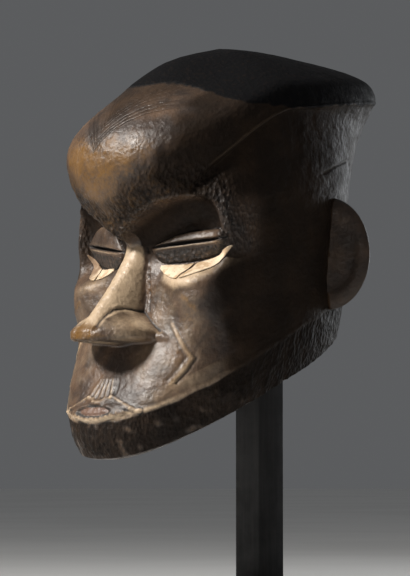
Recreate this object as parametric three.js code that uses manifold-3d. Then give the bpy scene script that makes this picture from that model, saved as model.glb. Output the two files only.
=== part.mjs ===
// A carved wooden helmet mask with a domed forehead, on a square post and foot.
// Millimetres, +Z up. The face looks towards -Y, the mask's own left is +X.
// The origin is the middle of the foot's underside, straight below the post.
import * as THREE from 'three';
import { mergeVertices } from 'three/addons/utils/BufferGeometryUtils.js';
import Module from 'manifold-3d';

const wasm = await Module();
wasm.setup();

// Stand
const FOOT_SIZE = 200;
const FOOT_HEIGHT = 40;
const POST_SIZE = 31;
const GAP = 0.3;

// Mask: heights in this file are above the chin, reaches are from the mask's upright axis
const CHIN_Z = 170;
const AXIS_Y = -50;
const MASK_HEIGHT = 371;
const SIDE_WALL = 16;

// The helmet is lofted through these levels, from the rim up to the crown. Each level is an oval
// of its own, with a reach from the axis and a height at the front, at the sides and at the back.
// square says how square its front half is, dip how far its front dips along the angle (1) and
// not along the reach (0), flat how many degrees of that dip lie flat, wall how thick the wall is
// in front, and rows how many rows of facets lead up to it from the level below.
const LEVELS = [
  { front: [142, 2], side: [85, 71], back: [124, 126], square: 2.3, dip: 0, flat: 0, wall: 15, rows: 0 },
  { front: [151, 31], side: [98, 112], back: [127, 166], square: 2.3, dip: 0, flat: 0, wall: 19, rows: 5 },
  { front: [129, 80], side: [98, 150], back: [125, 190], square: 3, dip: 0.2, flat: 0, wall: 17, rows: 7 },
  { front: [104, 140], side: [101, 195], back: [128, 235], square: 4.6, dip: 0.6, flat: 0, wall: 15, rows: 9 },
  { front: [108, 180], side: [102, 235], back: [136, 277], square: 4.6, dip: 1, flat: 6, wall: 34, rows: 7 },
  { front: [124, 199], side: [99, 302], back: [154, 303], square: 2.5, dip: 1, flat: 6, wall: 46, rows: 6 },
  { front: [128, 208], side: [104, 310], back: [169, 331], square: 2.4, dip: 1, flat: 0, wall: 40, rows: 2 },
  { front: [144, 230], side: [102, 320], back: [169, 342], square: 2.35, dip: 1, flat: 0, wall: 34, rows: 3 },
  { front: [151, 258], side: [97, 331], back: [160, 350], square: 2.4, dip: 1, flat: 0, wall: 22, rows: 3 },
  { front: [143, 285], side: [84, 340], back: [138, 357], square: 2.3, dip: 1, flat: 0, wall: 20, rows: 3 },
  { front: [112, 317], side: [62, 352], back: [100, 363], square: 2.15, dip: 1, flat: 0, wall: 20, rows: 3 },
  { front: [60, 354], side: [30, 366], back: [48, 369], square: 2, dip: 1, flat: 0, wall: 14, rows: 2 },
];
const CROWN_ROWS = 2;
const COLUMNS = 66;
const FRONT_CROWDING = 0.42; // how much closer the columns stand in front than behind
const CAVITY_COLUMNS = 36;
const CAVITY_ROWS = 16;
const CROWN_WALL = 19;
const OVERHANG_FROM = 128; // reach at the back from which the wall grows, and how much it grows
const OVERHANG_WALL = 0.12;
const HOLLOW_DROP = [0, 0, 0, 0, 0, 0, 2, 6, 10, 13, 16, 18]; // how far the hollow lies below each level
const BELOW_RIM = 30;
const TINY = 1e-5;

// Face
const BROW = { root: 193, rise: 36, peakX: 70, outerX: 98, outerDrop: 30 };
const SOCKET = { edge: 22, outerEdge: 26, floorY: -154, floorSlope: 0.345, floor: 152, full: 178 };
const SOCKET_END = { fadeX: 80, outerX: 102 };
const EYE_SWELL = 9;
const CHEEKBONE = { x: 82, z: 150, radiusX: 44, radiusZ: 38, swell: 7 };
const CHEEK_HOLLOW = { x: 62, z: 108, radiusX: 36, radiusZ: 36, swell: -4 };
const RIGHT_TEMPLE = { x: -96, z: 182, radiusX: 26, radiusZ: 38, swell: 9 };
const NOSE = { rootZ: 187, rootY: -156, tipZ: 112, tipY: -214.5, bend: 1.2, roundness: 2.35 };
const NOSE_HALF = { root: 12, middle: 21, wings: 42 };
const NOSE_BASE = { z: 104, wingRise: 3, undercut: 5 };
const MOUTH = { z: 44, halfWidth: 43, arch: 10, swell: 4 };
const MOUTH_OPENING = { z: 42.5, half: 21, height: 4.6, depth: 2.4 };

// Closed eyes, each with its slit at height z. The right one is shorter, slopes more and has a
// taller upper lid. The tapers say how blunt a lid is at its ends, and lowerFade how much the lower
// lid narrows towards the outer one.
const EYES = {
  left: { x: 57, z: 189, halfLength: 38.5, slope: 3.2, upper: 10.2, lower: 16.5 },
  right: { x: 52, z: 188.7, halfLength: 34.5, slope: 4.7, upper: 20.5, lower: 17.5 },
};
const EYE_TAPERS = {
  left: { inner: 1.5, outer: 8, lowerFade: 0.5 },
  right: { inner: 3, outer: 3, lowerFade: 0.2 },
};

// Ears: upright flanges shaped like a D, turned back from straight out
const EAR = { y: -2, z: 184, halfHeight: 51, reach: 52, sink: 13, thickness: 9, bevel: 2, turn: 33 };

// Pale strips under the eyes, each a crescent that is broken in two. The crescent is drawn once, from
// innerX to outerX, and shortened to each side's own ends. The break's place is measured at the
// middle of the strip's height, and lean is how far it slants outwards over that height.
const STRIP = { topZ: 170.2, riseFrom: 52, rise: 14, riseOver: 42, innerX: 29, middleX: 66, outerX: 96.5 };
const STRIP_AWAY = 30;
const STRIP_TAPER = { inner: 40, outer: 31 };
const STRIP_GAP = 0.3;
const STRIP_THICKNESS = 1.2;
const STRIP_SIDES = {
  left: { innerX: 29, outerX: 96.5, width: 13.5, breakX: 60.5, lean: 3.2, gap: 3 },
  right: { innerX: 34, outerX: 87, width: 10.5, breakX: 56.5, lean: 6, gap: 3 },
};

const COLOURS = { wood: 0x3a2a1e, strip: 0xd9c79c, stand: 0x0b0b0c };

const clamp = (t) => Math.min(1, Math.max(0, t));

function smooth(from, to, t) {
  const s = clamp((t - from) / (to - from));
  return s * s * (3 - 2 * s);
}

// A round swelling of height 1 in the middle of an oval, flat at its edge
function swelling(x, z, oval) {
  const d = ((x - oval.x) / oval.radiusX) ** 2 + ((z - oval.z) / oval.radiusZ) ** 2;
  return d < 1 ? (1 - d) ** 2 : 0;
}

// One value of the levels at a height along the loft, on a smooth curve through them
function along(levels, t, value) {
  const i = Math.min(levels.length - 2, Math.floor(t));
  const s = t - i;
  const at = (k) => value(levels[Math.min(levels.length - 1, Math.max(0, k))]);
  const slopeIn = (at(i + 1) - at(i - 1)) / 2;
  const slopeOut = (at(i + 2) - at(i)) / 2;
  return (
    at(i) * (2 * s ** 3 - 3 * s ** 2 + 1) +
    slopeIn * (s ** 3 - 2 * s ** 2 + s) +
    at(i + 1) * (3 * s ** 2 - 2 * s ** 3) +
    slopeOut * (s ** 3 - s ** 2)
  );
}

// Point of a loft at an angle from the front and a height along the levels
function loftPoint(levels, angle, t) {
  const sine = Math.abs(Math.sin(angle));
  const cosine = Math.cos(angle);
  const facing = cosine > 0;
  const end = facing ? 'front' : 'back';
  const [side, sideZ] = [0, 1].map((part) => along(levels, t, (level) => level.side[part]));
  const [reach, endZ] = [0, 1].map((part) => along(levels, t, (level) => level[end][part]));
  const square = facing ? along(levels, t, (level) => level.square) : 2;
  const flat = facing ? along(levels, t, (level) => level.flat) : 0;
  const dip = facing ? clamp(along(levels, t, (level) => level.dip)) : 0;
  const across = sine / Math.max(TINY, side);
  const ahead = Math.abs(cosine) / Math.max(TINY, reach);
  const radius = (across ** square + ahead ** square) ** (-1 / square);
  const turned = THREE.MathUtils.radToDeg(Math.asin(Math.min(1, sine)));
  const byAngle = 1 - smooth(flat, 90 - 0.8 * flat, turned);
  const byReach = Math.min(1, radius * ahead);
  return new THREE.Vector3(
    radius * Math.sin(angle),
    AXIS_Y - radius * cosine,
    sideZ + (endZ - sideZ) * (byReach * (1 - dip) + byAngle * dip)
  );
}

// Height of the brow's lower edge, from the point over the nose to the temple
function browHeight(x) {
  if (x < BROW.peakX) return BROW.root + BROW.rise * Math.sin((Math.PI / 2) * (x / BROW.peakX));
  const out = (x - BROW.peakX) / (BROW.outerX - BROW.peakX);
  return BROW.root + BROW.rise - BROW.outerDrop * Math.min(2, out) ** 4;
}

// How far a point is moved back to the sloping floor of the hollow that the eye lies in. The brow's
// edge over it is softest at the temple.
function socketShare(x, z) {
  const end = smooth(SOCKET_END.fadeX, SOCKET_END.outerX, x);
  const edge = SOCKET.edge + SOCKET.outerEdge * end;
  const under = 1 - (1 - clamp((browHeight(x) - z) / edge)) ** 2;
  return under * smooth(SOCKET.floor, SOCKET.full, z) * (1 - end);
}

// The closed lids, a lens that swells out of the socket, blunter at its outer end
function lidSwell(side, x, z) {
  const eye = EYES[side];
  const taper = EYE_TAPERS[side];
  const along = (x - eye.x) / eye.halfLength;
  if (Math.abs(along) >= 1) return 0;
  const slit = eye.z + eye.slope * along;
  const reach = Math.abs(along);
  const inner = along < 0;
  const upper = eye.upper * (1 - reach ** (inner ? taper.inner : taper.outer));
  const lower = eye.lower * (1 - reach ** 5.5) * (inner ? 1 : 1 - taper.lowerFade * reach ** 2.2);
  const across = (z - slit) / (z > slit ? upper : lower);
  if (Math.abs(across) >= 1) return 0;
  return EYE_SWELL * Math.sqrt((1 - across ** 2) * (1 - reach ** (inner ? 2 : 5)));
}

// How much of the nose's full reach a point has, 1 on the ridge and 0 on the cheek
function noseShare(x, z) {
  const down = clamp((NOSE.rootZ - z) / (NOSE.rootZ - NOSE.tipZ));
  const straight = NOSE_HALF.root + (NOSE_HALF.middle - NOSE_HALF.root) * down;
  const half = straight + (NOSE_HALF.wings - NOSE_HALF.middle) * smooth(0.78, 1, down);
  const out = x / half;
  if (out >= 1) return 0;
  const bottom = NOSE_BASE.z + NOSE_BASE.wingRise * out;
  const top = smooth(NOSE.rootZ + 8, NOSE.rootZ - 6, z);
  return (1 - out ** NOSE.roundness) * smooth(bottom - NOSE_BASE.undercut, bottom, z) * top;
}

function noseRidge(z) {
  const down = clamp((NOSE.rootZ - z) / (NOSE.rootZ - NOSE.tipZ));
  return NOSE.rootY + (NOSE.tipY - NOSE.rootY) * down ** NOSE.bend;
}

// Lips round a low, wide oval recess in the middle
function mouthSwell(x, z) {
  const out = clamp(x / MOUTH.halfWidth);
  const upper = MOUTH.z + MOUTH.arch * (1 - out ** 1.6);
  const lower = MOUTH.z - MOUTH.arch * (1 - out ** 2);
  const middle = (upper + lower) / 2;
  const half = Math.max(2, (upper - lower) / 2);
  const lip = x < MOUTH.halfWidth ? Math.max(0, 1 - ((z - middle) / half) ** 4) : 0;
  const open = (x / MOUTH_OPENING.half) ** 2 + ((z - MOUTH_OPENING.z) / MOUTH_OPENING.height) ** 2;
  const recess = open < 1 ? Math.sqrt(1 - open) : 0;
  return MOUTH.swell * lip * (1 - out ** 4) - MOUTH_OPENING.depth * recess;
}

// Moves a point of the plain helmet to where the carving puts it
function carve(p) {
  const x = Math.abs(p.x);
  const z = p.z;
  if (p.y > AXIS_Y) return p;
  p.y -= CHEEKBONE.swell * swelling(x, z, CHEEKBONE) + CHEEK_HOLLOW.swell * swelling(x, z, CHEEK_HOLLOW);
  p.y -= RIGHT_TEMPLE.swell * swelling(p.x, z, RIGHT_TEMPLE);
  p.y += Math.max(0, SOCKET.floorY + SOCKET.floorSlope * x - p.y) * socketShare(x, z);
  p.y -= lidSwell(p.x > 0 ? 'left' : 'right', x, z) + mouthSwell(x, z);
  const share = noseShare(x, z);
  if (share > 0) p.y -= Math.max(0, p.y - noseRidge(z)) * share;
  return p;
}

// Column angles, closer together in front
function columnAngle(k, count) {
  const even = (2 * Math.PI * k) / count - Math.PI;
  return even - FRONT_CROWDING * Math.sin(even);
}

// A closed solid from rows of points, each row a ring, with a point at either end. Each four-sided
// facet is cut along its shorter diagonal.
function solidOfRings(rings, low, high) {
  const count = rings[0].length;
  const points = [...rings.flat(), low, high];
  const faces = [];
  const lowIndex = points.length - 2;
  const highIndex = points.length - 1;
  for (let k = 0; k < count; k++) {
    const next = (k + 1) % count;
    faces.push(lowIndex, next, k);
    for (let r = 0; r + 1 < rings.length; r++) {
      const a = r * count + k;
      const b = r * count + next;
      if (points[a].distanceTo(points[b + count]) < points[b].distanceTo(points[a + count])) {
        faces.push(a, b, b + count, a, b + count, a + count);
      } else {
        faces.push(a, b, a + count, b, b + count, a + count);
      }
    }
    const last = (rings.length - 1) * count;
    faces.push(highIndex, last + k, last + next);
  }
  return new wasm.Manifold(
    new wasm.Mesh({
      numProp: 3,
      vertProperties: new Float32Array(points.flatMap((p) => [p.x, p.y, p.z + CHIN_Z])),
      triVerts: new Uint32Array(faces),
    })
  );
}

function ringAt(levels, t, count, change) {
  return Array.from({ length: count }, (_, k) => change(loftPoint(levels, columnAngle(k, count), t)));
}

// The level at which a loft closes to a point
function crown(height) {
  return { front: [0, height], side: [0, height], back: [0, height], square: 2, dip: 1, flat: 0 };
}

function helmetSolid() {
  const levels = [...LEVELS, crown(MASK_HEIGHT)];
  const heights = [0];
  [...LEVELS.slice(1).map((level) => level.rows), CROWN_ROWS].forEach((rows, i) => {
    for (let r = 1; r <= rows; r++) heights.push(i + r / rows);
  });
  const top = heights.pop();
  const rings = heights.map((t) => ringAt(levels, t, COLUMNS, carve));
  const low = new THREE.Vector3(0, AXIS_Y, rings[0].reduce((sum, p) => sum + p.z, 0) / COLUMNS);
  return solidOfRings(rings, low, loftPoint(levels, 0, top));
}

// The hollow inside, which runs on below the rim so that it cuts clean through
function cavitySolid() {
  const levels = LEVELS.map((level, i) => {
    const drop = HOLLOW_DROP[i] ?? 0;
    const backWall = SIDE_WALL + OVERHANG_WALL * Math.max(0, level.back[0] - OVERHANG_FROM);
    return {
      ...level,
      front: [level.front[0] - level.wall, level.front[1] - drop / 2],
      side: [level.side[0] - SIDE_WALL, level.side[1] - drop],
      back: [level.back[0] - backWall, level.back[1] - drop],
    };
  });
  levels.push(crown(MASK_HEIGHT - CROWN_WALL));
  const top = levels.length - 1;
  const rings = Array.from({ length: CAVITY_ROWS }, (_, r) =>
    ringAt(levels, (top * r) / CAVITY_ROWS, CAVITY_COLUMNS, (p) => p)
  );
  const below = rings[0].map((p) => p.clone().setZ(p.z - BELOW_RIM));
  const low = new THREE.Vector3(0, AXIS_Y, (below[0].z + below[CAVITY_COLUMNS / 2].z) / 2);
  return solidOfRings([below, ...rings], low, loftPoint(levels, 0, top));
}

function solidOf(geometry) {
  const bare = geometry.clone();
  bare.deleteAttribute('normal');
  bare.deleteAttribute('uv');
  const merged = mergeVertices(bare, 1e-4);
  return new wasm.Manifold(
    new wasm.Mesh({
      numProp: 3,
      vertProperties: merged.attributes.position.array,
      triVerts: new Uint32Array(merged.index.array),
    })
  );
}

function earSolid(side) {
  const shape = new THREE.Shape();
  shape.moveTo(-EAR.sink, -EAR.halfHeight + 8);
  shape.lineTo(0, -EAR.halfHeight);
  shape.absellipse(0, 0, EAR.reach - EAR.sink, EAR.halfHeight, -Math.PI / 2, Math.PI / 2, false);
  shape.lineTo(-EAR.sink, EAR.halfHeight - 8);
  shape.closePath();
  const flange = new THREE.ExtrudeGeometry(shape, {
    depth: EAR.thickness - 2 * EAR.bevel,
    bevelThickness: EAR.bevel,
    bevelSize: EAR.bevel,
    bevelOffset: -EAR.bevel,
    bevelSegments: 2,
    curveSegments: 12,
  });
  flange.translate(0, 0, EAR.bevel - EAR.thickness / 2);
  flange.rotateX(Math.PI / 2);
  flange.rotateZ(THREE.MathUtils.degToRad(side > 0 ? EAR.turn : 180 - EAR.turn));
  flange.translate(side * 90, EAR.y, EAR.z + CHIN_Z);
  return solidOf(flange);
}

const mask = helmetSolid().subtract(cavitySolid()).add(earSolid(1)).add(earSolid(-1));

function geometryOf(solid) {
  const mesh = solid.getMesh();
  const geometry = new THREE.BufferGeometry();
  geometry.setAttribute('position', new THREE.BufferAttribute(mesh.vertProperties, 3));
  geometry.setIndex(new THREE.BufferAttribute(mesh.triVerts, 1));
  geometry.computeVertexNormals();
  return geometry;
}

function box(width, depth, height, bottom) {
  return new THREE.BoxGeometry(width, depth, height).translate(0, 0, bottom + height / 2);
}

// Height of a strip's upper edge, and its width, which tapers to both ends
function stripTop(x) {
  return STRIP.topZ + STRIP.rise * (Math.max(0, x - STRIP.riseFrom) / STRIP.riseOver) ** 1.8;
}

function stripWidth(x, width) {
  const out = x - STRIP.middleX;
  const taper = out > 0 ? (out / STRIP_TAPER.outer) ** 3 : (-out / STRIP_TAPER.inner) ** 2.2;
  return width * Math.max(0, 1 - taper) ** 0.8;
}

// A plate in front of the face, from its outline in the upright plane
function plate(points, side) {
  const outline = points.map(([x, z]) => new THREE.Vector2(side * x, z + CHIN_Z));
  const geometry = new THREE.ExtrudeGeometry(new THREE.Shape(outline), { depth: 120, bevelEnabled: false });
  return geometry.rotateX(Math.PI / 2).translate(0, -90, 0);
}

// The crescent of a strip from one end to the other, cut off along the break
function stripPiece(side, part) {
  const { innerX, outerX, width, breakX, lean, gap } = STRIP_SIDES[side > 0 ? 'left' : 'right'];
  const steps = 14;
  const pitch = (outerX - innerX) / steps;
  const across = Array.from({ length: steps + 1 }, (_, i) => innerX + pitch * i);
  const drawn = (x) => STRIP.innerX + ((x - innerX) * (STRIP.outerX - STRIP.innerX)) / (outerX - innerX);
  const crescent = plate(
    [
      ...across.map((x) => [x, stripTop(drawn(x)) - stripWidth(drawn(x), width) - 0.4]),
      ...across.reverse().map((x) => [x, stripTop(drawn(x)) + 0.4]),
    ],
    side
  );
  const edge = breakX + (part * gap) / 2;
  const middle = stripTop(drawn(breakX)) - width / 2;
  const half = plate(
    [
      [edge - lean, middle - width],
      [edge + part * 80 - lean, middle - width],
      [edge + part * 80 + lean, middle + width],
      [edge + lean, middle + width],
    ],
    side
  );
  const turn = THREE.MathUtils.degToRad(STRIP_AWAY);
  const moved = (reach) => mask.translate(side * Math.sin(turn) * reach, -Math.cos(turn) * reach, 0);
  return solidOf(crescent)
    .intersect(solidOf(half))
    .intersect(moved(STRIP_GAP + STRIP_THICKNESS))
    .subtract(moved(STRIP_GAP));
}

const group = new THREE.Group();

function place(name, geometry, colour, roughness) {
  const material = new THREE.MeshStandardMaterial({ color: colour, roughness, metalness: 0 });
  const mesh = new THREE.Mesh(geometry, material);
  mesh.name = name;
  group.add(mesh);
}

place('mask', geometryOf(mask), COLOURS.wood, 0.5);
for (const side of [1, -1]) {
  const name = side > 0 ? 'left' : 'right';
  place(`${name}_eye_strip_inner`, geometryOf(stripPiece(side, -1)), COLOURS.strip, 0.6);
  place(`${name}_eye_strip_outer`, geometryOf(stripPiece(side, 1)), COLOURS.strip, 0.6);
}
place('foot', box(FOOT_SIZE, FOOT_SIZE, FOOT_HEIGHT, 0), COLOURS.stand, 0.7);
const postTop = CHIN_Z + MASK_HEIGHT - 10;
const postBar = solidOf(box(POST_SIZE, POST_SIZE, postTop - FOOT_HEIGHT - GAP, FOOT_HEIGHT + GAP));
place('post', geometryOf(postBar.subtract(mask.translate(0, 0, -GAP))), COLOURS.stand, 0.7);

export default group;
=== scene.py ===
"""A carved helmet mask with slit eyes and a domed forehead, on its square post and foot."""

import math
from types import SimpleNamespace as Sizes

import bmesh
import bpy
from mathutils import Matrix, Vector, noise
from mathutils.bvhtree import BVHTree


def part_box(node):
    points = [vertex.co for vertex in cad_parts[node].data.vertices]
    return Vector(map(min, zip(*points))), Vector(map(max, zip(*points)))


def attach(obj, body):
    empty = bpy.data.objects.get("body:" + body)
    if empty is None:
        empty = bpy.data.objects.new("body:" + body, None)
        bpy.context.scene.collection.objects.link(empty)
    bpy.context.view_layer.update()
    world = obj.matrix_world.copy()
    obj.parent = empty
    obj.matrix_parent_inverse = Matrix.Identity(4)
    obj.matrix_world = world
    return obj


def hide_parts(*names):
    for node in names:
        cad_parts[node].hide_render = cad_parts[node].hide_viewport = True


bl_info = {
    "name": "Carved Helmet Mask",
    "version": (1, 0, 0),
    "blender": (4, 5, 0),
    "location": "View3D > Sidebar > Carving",
    "description": "Builds a carved wooden helmet mask on a display post",
    "category": "Add Mesh",
}

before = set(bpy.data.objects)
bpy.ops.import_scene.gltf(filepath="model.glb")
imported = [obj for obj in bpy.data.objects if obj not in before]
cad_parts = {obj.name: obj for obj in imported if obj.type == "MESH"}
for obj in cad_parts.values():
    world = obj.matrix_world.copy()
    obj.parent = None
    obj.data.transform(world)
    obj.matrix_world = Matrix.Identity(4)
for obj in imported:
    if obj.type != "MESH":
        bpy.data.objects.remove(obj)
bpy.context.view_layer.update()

# The carving is worked out in millimetres. Heights are above the chin and depths run back along +Y.
# Most forms are on both halves of the face, so a place is a distance from the middle and a height
MM = 0.001
RIM_FRONT = 2.0
CHIN_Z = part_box("mask")[0].z / MM - RIM_FRONT
AXIS_Y = -50.0
MASK_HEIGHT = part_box("mask")[1].z / MM - CHIN_Z

# Levels of the helmet from rim to crown: reach and height in front, at the side and behind, how
# square the front half is, how far its front dips along the angle and not the reach, how many
# degrees of that dip lie flat, the wall in front, and the rows of fine facets below the level
LEVEL_KEYS = ("front", "side", "back", "square", "dip", "flat", "wall", "rows")
LEVELS = [
    dict(zip(LEVEL_KEYS, level))
    for level in (
        ((142, 2), (85, 71), (124, 126), 2.3, 0, 0, 15, 0),
        ((151, 31), (98, 112), (127, 166), 2.3, 0, 0, 19, 24),
        ((129, 80), (98, 150), (125, 190), 3, 0.2, 0, 17, 36),
        ((104, 140), (101, 195), (128, 235), 4.6, 0.6, 0, 15, 40),
        ((108, 180), (102, 235), (136, 277), 4.6, 1, 6, 34, 44),
        ((124, 199), (99, 302), (154, 303), 2.5, 1, 6, 46, 40),
        ((128, 208), (104, 310), (169, 331), 2.4, 1, 0, 40, 9),
        ((144, 230), (102, 320), (169, 342), 2.35, 1, 0, 34, 14),
        ((151, 258), (97, 331), (160, 350), 2.4, 1, 0, 22, 18),
        ((143, 285), (84, 340), (138, 357), 2.3, 1, 0, 20, 19),
        ((112, 317), (62, 352), (100, 363), 2.15, 1, 0, 20, 14),
        ((60, 354), (30, 366), (48, 369), 2, 1, 0, 14, 8),
    )
]
CAP_LEVEL = 6

# The hollow inside: its walls, how far its levels lie below the helmet's, and the rounded rim
SIDE_WALL = 16
CROWN_WALL = 19
OVERHANG_FROM = 128
OVERHANG_WALL = 0.12
HOLLOW_DROP = [0, 0, 0, 0, 0, 0, 2, 6, 10, 13, 16, 18]
RIM_ROUND = 1.6
RIM_SINK = 1.0

# Columns and rows of the fine mesh
COLUMNS = 320
FRONT_CROWDING = 0.5
CROWN_ROWS = 4
HOLLOW_ROWS = 18
RIM_CROWDING = 0.8
RIM_ROWS = 5

# What each point is painted with, for the material to read; among it painted shade in the dark paint
# and the grime, and painted highlights in the pale paint
PAINTS = ("cap", "worn", "grime", "pale", "red", "dark", "chipped", "hair", "combed")
INSIDE_DARK = 0.6
EAR_DARK = 0.5

# Main forms of the face. The right eye is shorter and has a taller upper lid. A taper is the power
# by which the upper lid narrows to that end of the eye
BROW = Sizes(root=193, rise=36, peak_x=70, outer_x=98, outer_drop=30)
SOCKET = Sizes(edge=22, outer_edge=26, floor_y=-154, floor_slope=0.345, rise=(152, 178), end=(80, 102))
SOCKET_LIP = Sizes(share=0.35, height=4, end=(66, 88))
EYES = {
    "left": Sizes(x=57, z=189, half_length=38.5, slope=3.2, upper=10.2, lower=16.5),
    "right": Sizes(x=52, z=188.7, half_length=34.5, slope=4.7, upper=20.5, lower=17.5),
}
EYE_TAPERS = {
    "left": Sizes(inner=1.5, outer=8, lower_fade=0.5),
    "right": Sizes(inner=3, outer=3, lower_fade=0.2),
}
LID = Sizes(swell=9, outer_end=5, lower_end=5.5, fade_end=2.2, step=1.6, step_height=6)
SLIT = Sizes(half_height=1.4, narrowing=0.5, depth=6, lip=1.2, lip_height=3)
CHEEKBONE = Sizes(x=82, z=150, radius_x=44, radius_z=38, swell=7)
RIGHT_TEMPLE = Sizes(x=-96, z=182, radius_x=26, radius_z=38, swell=9)
CHEEK_HOLLOW = Sizes(x=62, z=108, radius_x=36, radius_z=36, swell=-4)
NOSE = Sizes(root_z=187, root_y=-156, tip_z=112, tip_y=-214.5, bend=1.2, roundness=2.35)
NOSE_ROOT = Sizes(above=8, below=6)
NOSE_HALF = Sizes(root=12, middle=21, wings=40.5, wings_from=0.78)
WING_FALL = Sizes(slope=0.6, bend=1.7, edge=10, blunt_from=0.75)
NOSE_BASE = Sizes(z=104, wing_rise=3, undercut=4)
MOUTH = Sizes(z=44, half=43, arch=10, upper_bend=1.6, thinnest=4, swell=4)
OPENING = Sizes(z=42.5, half=21, height=4.6, depth=2.4, filled=1.4)

# Incised lines, each a path of (distance from the middle, height), or (depth, height) at the sides
HAIR_POINT = Sizes(z=268, rise=43, spread=26)
HAIRLINES = Sizes(pitch=5.5, lower=0, upper=19, lines=3, top=31, sunk=0.4, narrowing=0.0035)
CAP_EDGE = Sizes(top=330, slope=(30, 104), fall=20, step=0.9, ridge=1.2)
WING_GROOVE = [
    (13, 114), (10.5, 121), (9.8, 127), (11, 131), (14, 132.5), (19, 129.5), (31.5, 121), (45, 112)
]
WING = Sizes(top_x=14, top_z=132.5, slope=0.64, swell=2.2, cut=1.2, half=1.7)
NOSE_CRACK = [(14, 186), (16, 170), (19, 158), (22, 144.5), (24, 133)]
CRACK = Sizes(half=1.5, depth=1.3, beads=46)
CRACK_HOLE = Sizes(x=24.5, z=131, radius=2.4, depth=2.5)
CHEVRON = [(58, 118), (69, 103), (78.5, 88), (75, 77), (69, 66)]
CHEVRON_BAND = [(x - 2.6, z + 0.3) for x, z in CHEVRON]
CHEVRON_INNER = [(52, 117), (63, 103), (72, 89), (69, 79), (63, 69)]
TEMPLE_LINE = [(-16, 254), (5, 263), (34, 271), (37, 262), (31, 240)]
PHILTRUM = Sizes(top=72, bottom=53, spacing=3.7, flare=0.95, ridges=3, swell=0.9, crest=0.55)
PHILTRUM_CRACK = [(15.5, 69), (17, 63), (16.5, 57)]
UPPER_LIP = [(0, 50.5), (6, 51.6), (12, 54), (16, 55), (29, 49.8), (40, 45), (47, 43)]
INNER_LIP = [(0, 47.5), (8, 48.5), (18, 49.5), (28, 45.5), (38, 43)]
LOWER_LIP = [(0, 34.5), (10, 35), (26.6, 38.4), (40.4, 42.4), (47, 43)]
LIPS = ((UPPER_LIP, 1.1, 1.9), (LOWER_LIP, 0.9, 2.2))
NOTCHES = [(x, z + 3) for x, z in LOWER_LIP[:4]]
CHEEK_SCAR = [(68, 141), (78, 132)]
CHEEK_LEDGE = [(42, 161), (56, 155), (71, 156), (85, 163), (94, 174)]
# The ledge's swell and width, the width of the painted sheen along it, and its share on the right
LEDGE = Sizes(swell=2.4, half=13, pale_half=10, right_share=0.4)

# The band round the jaw: the level of its edge, how that wanders, and its rubbed edge and step
JAW = Sizes(edge=1.05, wander=0.04, rub=0.7, step=0.6)

# Ears
EAR = Sizes(root_x=90, y=-2, z=184, half_height=50, reach=38, sink=14, half_thick=4.4, turn=33)
EAR_BOWL = Sizes(depth=0.5, edge=(0.62, 0.8))
EAR_GRID = (60, 34)

# Pale strips under the eyes
STRIP = Sizes(top_z=170.2, rise_from=52, rise=14, rise_over=42, inner_x=29, middle_x=66, outer_x=96.5)
STRIP_TAPER = Sizes(inner=40, outer=31)
STRIP_SIDES = {
    "left": Sizes(inner_x=29, outer_x=96.5, width=13.5, break_x=60.5, lean=1.6),
    "right": Sizes(inner_x=34, outer_x=87, width=10.5, break_x=56.5, lean=3),
}
STRIP_GRID = (44, 8)
STRIP_CLEAR = 0.3
STRIP_THICK = 1.1
OUTWARD = (0.5, -0.866)
BEFORE_FACE = -300

# The carved wood's fine features, in metres: their sizes and the depths of their bumps
SIZES = Sizes(blotch=0.03, fine=0.004, streak=0.006, dust=0.0014, shine=0.012, chips=0.0032, pits=0.004)
BUMPS = Sizes(chips=0.002, pits=0.0006, fibres=0.0009, cuts=0.0008, fine=0.001)

# Where the right strip starts to wear down and where it is bare, in metres
WORN_STRIP = (-0.055, -0.07)

# Lights: where each comes from, its distance, size and tint
LIGHTS = {
    "key": ((-0.25, -0.745, 0.62), 2.2, 0.4, (1, 0.96, 0.91)),
    "fill": ((0.75, -0.62, 0.15), 3.0, 1.8, (0.92, 0.96, 1)),
    "rim": ((-0.1, 0.95, 0.12), 2.4, 1.0, (0.94, 0.97, 1)),
}
ROOM_TINT = (0.75, 0.77, 0.8, 1)
OVERHEAD_SPREAD = math.radians(60)
FLOOR_RADIUS = 14

# Camera: where it stands, what it looks at, and its lens
AIM = Vector((0, 0, 0.320))
AZIMUTH = math.radians(46)
ELEVATION = math.radians(-3)
DISTANCE = 2.8
ASIDE = -0.0495
ABOVE = 0.0072
LENS = 192
SENSOR = 36
FARTHEST = 50


def clamp(value, low=0.0, high=1.0):
    return max(low, min(high, value))


def smooth(start, end, value):
    """0 before start, 1 after end, and a soft step between them."""
    s = clamp((value - start) / (end - start))
    return s * s * (3 - 2 * s)


def fade(start, end, value):
    """1 before start, 0 after end, and a soft step between them."""
    return 1 - smooth(start, end, value)


def groove(distance, half):
    """1 on a line and 0 beyond half its width, with a rounded bottom."""
    d = abs(distance) / half
    return (1 - d * d) ** 2 if d < 1 else 0.0


def swelling(x, z, oval):
    """A round swelling, 1 in the middle of an oval and flat at its edge."""
    d = ((x - oval.x) / oval.radius_x) ** 2 + ((z - oval.z) / oval.radius_z) ** 2
    return (1 - d) ** 2 if d < 1 else 0.0


def path_distance(path, x, z, near):
    """Distance to a path, endless if it isn't near, and how far along it the point is, up to 1."""
    best = (math.inf, 0.0)
    if any(not min(ends) - near < at < max(ends) + near for ends, at in zip(zip(*path), (x, z))):
        return best
    for i in range(len(path) - 1):
        (ax, az), (bx, bz) = path[i], path[i + 1]
        run = (bx - ax) ** 2 + (bz - az) ** 2
        s = clamp(((x - ax) * (bx - ax) + (z - az) * (bz - az)) / run)
        d = math.hypot(x - ax - s * (bx - ax), z - az - s * (bz - az))
        best = min(best, (d, (i + s) / (len(path) - 1)))
    return best


def grain(x, y, z, size, seed=0.0):
    """Smooth noise between about -1 and 1, whose features are about size across."""
    return noise.noise(Vector((x / size + seed, y / size, z / size)))


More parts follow.
